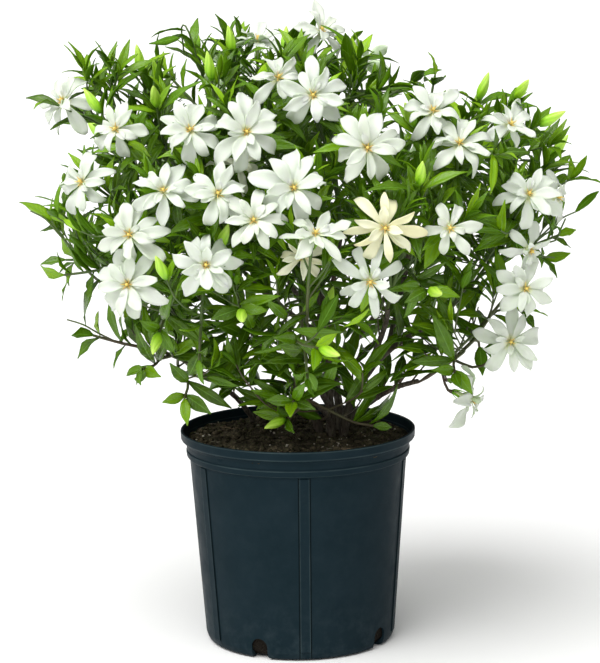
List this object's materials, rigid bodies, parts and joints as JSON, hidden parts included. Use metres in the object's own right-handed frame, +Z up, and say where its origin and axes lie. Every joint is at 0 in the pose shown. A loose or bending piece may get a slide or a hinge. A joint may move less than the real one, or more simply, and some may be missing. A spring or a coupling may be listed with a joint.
{
  "type": "potted gardenia",
  "caption": "Flowering gardenia shrub with white double blooms, glossy leaves and woody stems, growing in soil in a plain round plastic nursery pot.",
  "frame": {"origin": "centre of the pot's flat base, on the surface that the pot stands on", "axes": "+Z up along the pot's axis; the shrub's best side looks along -Y, +X is to its right"},
  "size_m": [0.5841, 0.5252, 0.6361],
  "materials": {
    "bloom_back_left_1": "soft white petals",
    "bloom_back_right_1": "soft white petals",
    "bloom_back_right_2": "soft white petals",
    "bloom_back_top_1": "soft white petals",
    "bloom_back_top_2": "soft white petals",
    "bloom_centre_1": "soft white petals",
    "bloom_centre_2": "soft white petals",
    "bloom_centre_3": "soft petals, aged to cream",
    "bloom_front_left_1": "soft white petals",
    "bloom_front_left_2": "soft white petals",
    "bloom_front_left_3": "soft white petals",
    "bloom_front_left_4": "soft petals, aged to cream",
    "bloom_left_arm_1": "soft white petals",
    "bloom_left_arm_2": "soft white petals",
    "bloom_left_arm_3": "soft white petals",
    "bloom_left_top_1": "soft white petals",
    "bloom_left_top_2": "soft white petals",
    "bloom_right_arm_1": "soft white petals",
    "bloom_right_arm_2": "soft white petals",
    "bloom_right_arm_3": "soft white petals",
    "bloom_right_front_1": "soft petals, aged to cream",
    "bloom_right_front_2": "soft white petals",
    "bloom_right_front_3": "soft white petals",
    "bloom_right_low_1": "soft white petals",
    "bloom_right_low_2": "soft white petals",
    "bloom_right_low_3": "soft white petals",
    "bloom_right_top_1": "soft white petals",
    "bloom_right_top_2": "soft white petals",
    "bloom_right_top_3": "soft white petals",
    "bloom_top_1": "soft white petals",
    "bloom_top_2": "soft white petals",
    "bloom_top_3": "soft white petals",
    "bloom_top_right_1": "soft white petals",
    "bloom_top_right_2": "soft white petals",
    "bloom_top_right_3": "soft white petals",
    "bloom_upper_left_1": "soft white petals",
    "bloom_upper_left_2": "soft white petals",
    "leafy_spray_back_left": "glossy dark green leaves, green twigs and lime buds",
    "leafy_spray_back_right": "glossy dark green leaves, green twigs and lime buds",
    "leafy_spray_back_top": "glossy dark green leaves, green twigs and lime buds",
    "leafy_spray_centre": "glossy dark green leaves, green twigs and lime buds",
    "leafy_spray_front_left": "glossy dark green leaves, green twigs and lime buds",
    "leafy_spray_left_arm": "glossy dark green leaves, green twigs and lime buds",
    "leafy_spray_left_top": "glossy dark green leaves, green twigs and lime buds",
    "leafy_spray_low_front": "glossy dark green leaves, green twigs and lime buds",
    "leafy_spray_low_left": "glossy dark green leaves, green twigs and lime buds",
    "leafy_spray_right_arm": "glossy dark green leaves, green twigs and lime buds",
    "leafy_spray_right_front": "glossy dark green leaves, green twigs and lime buds",
    "leafy_spray_right_low": "glossy dark green leaves, green twigs and lime buds",
    "leafy_spray_right_top": "glossy dark green leaves, green twigs and lime buds",
    "leafy_spray_top": "glossy dark green leaves, green twigs and lime buds",
    "leafy_spray_top_right": "glossy dark green leaves, green twigs and lime buds",
    "leafy_spray_upper_left": "glossy dark green leaves, green twigs and lime buds",
    "pot": "satin moulded plastic, dark slate",
    "soil": "crumbly potting mix of bark and peat",
    "woody_stem_back": "rough grey-brown bark",
    "woody_stem_centre": "rough grey-brown bark",
    "woody_stem_left": "rough grey-brown bark",
    "woody_stem_low_left": "rough grey-brown bark",
    "woody_stem_right": "rough grey-brown bark"
  },
  "bodies": {
    "root": {"bloom_back_left_1": "bloom_back_left_1", "bloom_back_right_1": "bloom_back_right_1", "bloom_back_right_2": "bloom_back_right_2", "bloom_back_top_1": "bloom_back_top_1", "bloom_back_top_2": "bloom_back_top_2", "bloom_centre_1": "bloom_centre_1", "bloom_centre_2": "bloom_centre_2", "bloom_centre_3": "bloom_centre_3", "bloom_front_left_1": "bloom_front_left_1", "bloom_front_left_2": "bloom_front_left_2", "bloom_front_left_3": "bloom_front_left_3", "bloom_front_left_4": "bloom_front_left_4", "bloom_left_arm_1": "bloom_left_arm_1", "bloom_left_arm_2": "bloom_left_arm_2", "bloom_left_arm_3": "bloom_left_arm_3", "bloom_left_top_1": "bloom_left_top_1", "bloom_left_top_2": "bloom_left_top_2", "bloom_right_arm_1": "bloom_right_arm_1", "bloom_right_arm_2": "bloom_right_arm_2", "bloom_right_arm_3": "bloom_right_arm_3", "bloom_right_front_1": "bloom_right_front_1", "bloom_right_front_2": "bloom_right_front_2", "bloom_right_front_3": "bloom_right_front_3", "bloom_right_low_1": "bloom_right_low_1", "bloom_right_low_2": "bloom_right_low_2", "bloom_right_low_3": "bloom_right_low_3", "bloom_right_top_1": "bloom_right_top_1", "bloom_right_top_2": "bloom_right_top_2", "bloom_right_top_3": "bloom_right_top_3", "bloom_top_1": "bloom_top_1", "bloom_top_2": "bloom_top_2", "bloom_top_3": "bloom_top_3", "bloom_top_right_1": "bloom_top_right_1", "bloom_top_right_2": "bloom_top_right_2", "bloom_top_right_3": "bloom_top_right_3", "bloom_upper_left_1": "bloom_upper_left_1", "bloom_upper_left_2": "bloom_upper_left_2", "leafy_spray_back_left": "leafy_spray_back_left", "leafy_spray_back_right": "leafy_spray_back_right", "leafy_spray_back_top": "leafy_spray_back_top", "leafy_spray_centre": "leafy_spray_centre", "leafy_spray_front_left": "leafy_spray_front_left", "leafy_spray_left_arm": "leafy_spray_left_arm", "leafy_spray_left_top": "leafy_spray_left_top", "leafy_spray_low_front": "leafy_spray_low_front", "leafy_spray_low_left": "leafy_spray_low_left", "leafy_spray_right_arm": "leafy_spray_right_arm", "leafy_spray_right_front": "leafy_spray_right_front", "leafy_spray_right_low": "leafy_spray_right_low", "leafy_spray_right_top": "leafy_spray_right_top", "leafy_spray_top": "leafy_spray_top", "leafy_spray_top_right": "leafy_spray_top_right", "leafy_spray_upper_left": "leafy_spray_upper_left", "pot": "pot", "soil": "soil", "woody_stem_back": "woody_stem_back", "woody_stem_centre": "woody_stem_centre", "woody_stem_left": "woody_stem_left", "woody_stem_low_left": "woody_stem_low_left", "woody_stem_right": "woody_stem_right"}
  },
  "joints": []
}
